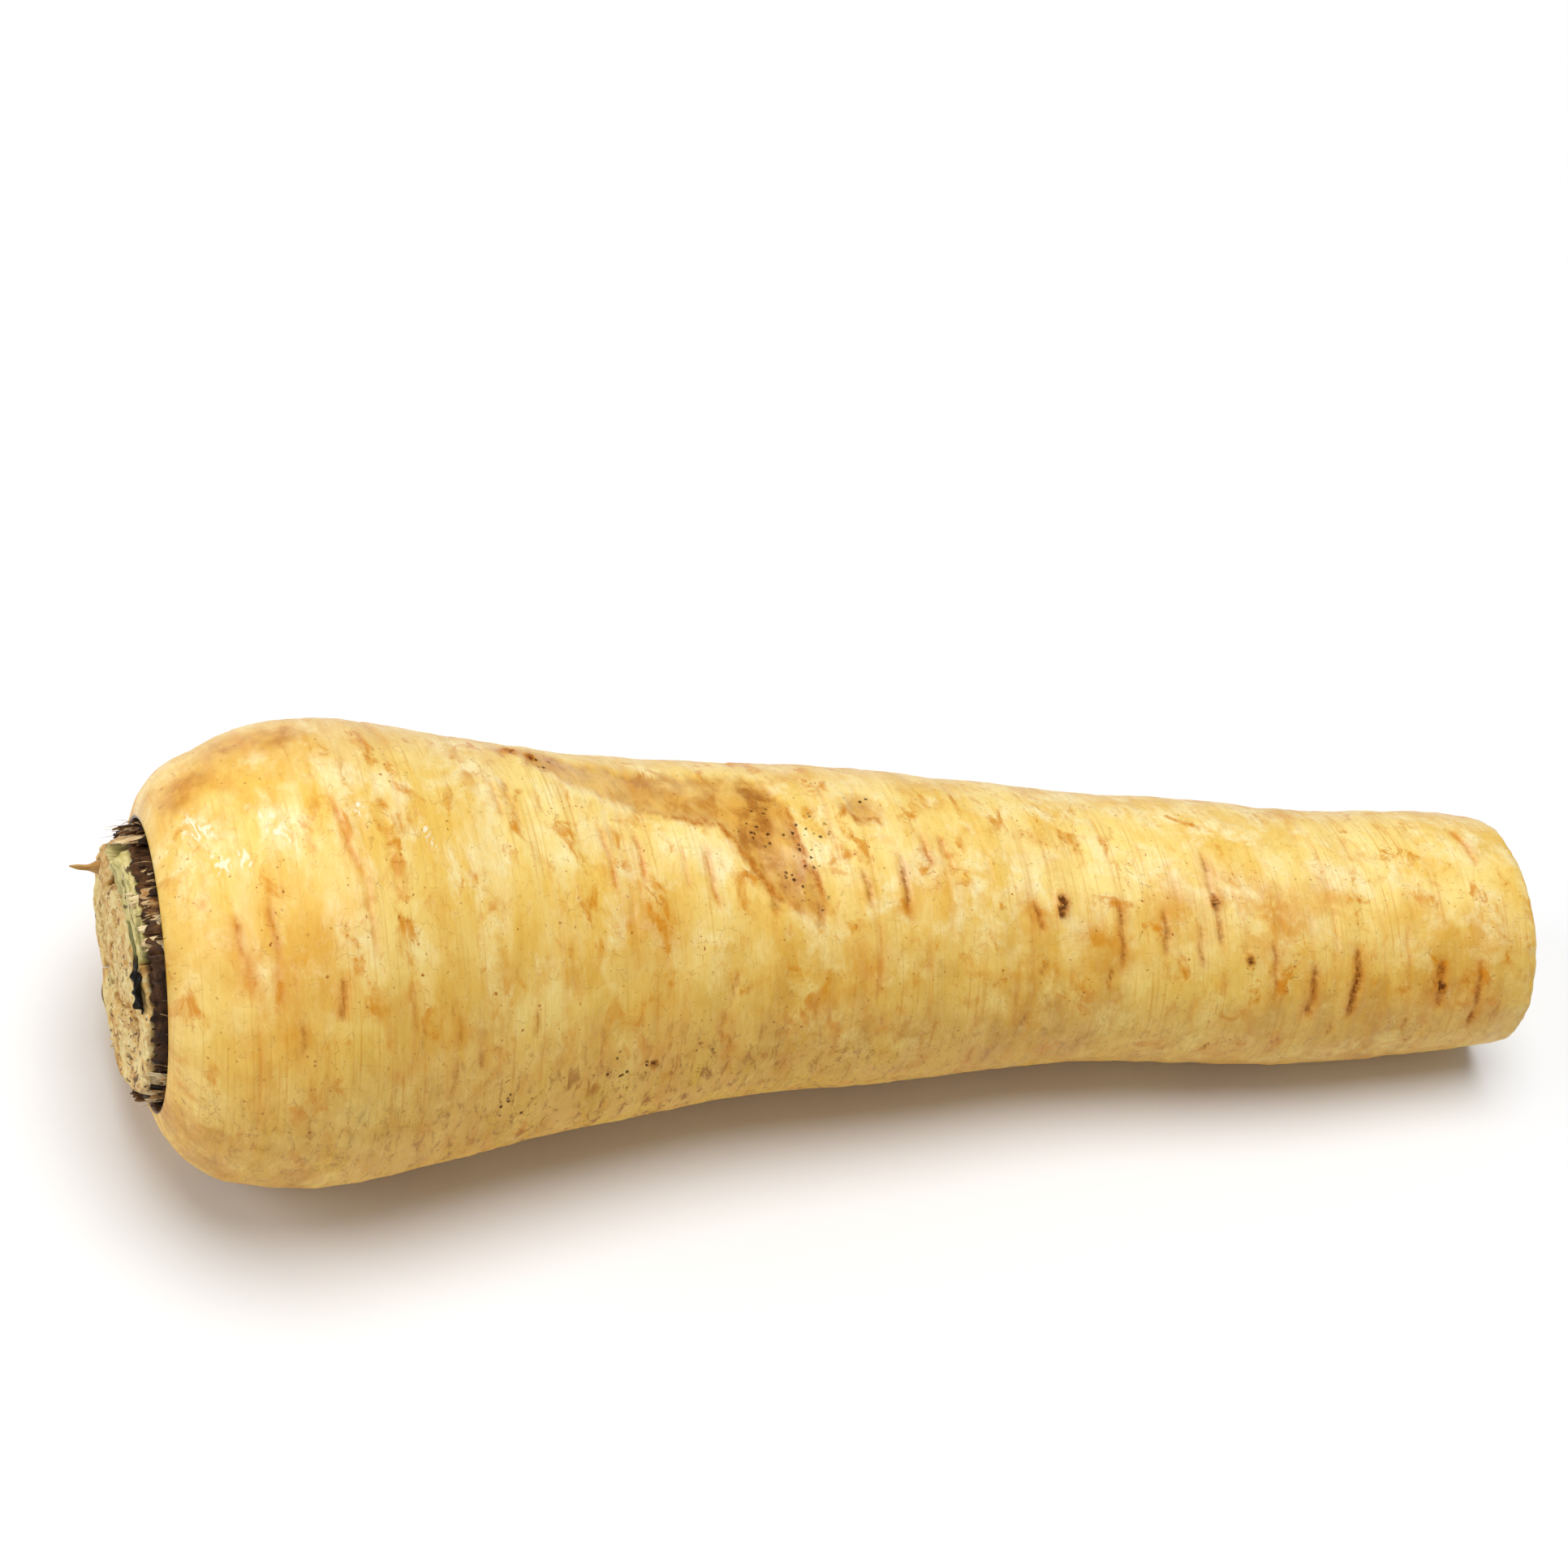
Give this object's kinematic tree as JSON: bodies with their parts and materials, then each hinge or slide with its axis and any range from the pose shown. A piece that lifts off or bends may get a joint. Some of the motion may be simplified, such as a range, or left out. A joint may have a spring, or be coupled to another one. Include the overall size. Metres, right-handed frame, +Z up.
{
  "type": "parsnip",
  "caption": "Trimmed parsnip root lying on its side, with a broad shoulder, a cut tail and cut leaf-stalk bases in a sunken crown.",
  "frame": {"origin": "on the surface it rests on, under the middle of the whole object's box", "axes": "+X along the root from the crown to the cut tail, +Z up, +Y to the left when looking along +X"},
  "size_m": [0.2166, 0.0646, 0.0625],
  "materials": {
    "root_skin": "satin, straw yellow with amber creases",
    "cut_stalk": "matte, cream with pinkish brown patches",
    "green_stalk": "satin, pale yellow green",
    "dry_sheath": "dry, dark brown",
    "dried_tip": "dry, tan",
    "dry_leaf": "dry, nearly black"
  },
  "bodies": {
    "root": {"root": "root_skin", "crown_heart": "cut_stalk", "inner_stalk_1": "cut_stalk", "inner_stalk_2": "cut_stalk", "inner_stalk_3": "cut_stalk", "outer_stalk_1": "green_stalk", "outer_stalk_2": "cut_stalk", "outer_stalk_3": "cut_stalk", "outer_stalk_4": "cut_stalk", "dry_sheath_1": "dry_sheath", "dry_sheath_2": "dry_sheath", "dry_sheath_3": "dry_sheath", "dry_sheath_4": "dry_sheath", "dry_sheath_5": "dry_sheath", "dry_sheath_6": "dry_sheath", "dry_sheath_7": "dry_sheath", "dried_spike": "dried_tip", "leaf_shred": "dry_leaf"}
  },
  "joints": []
}
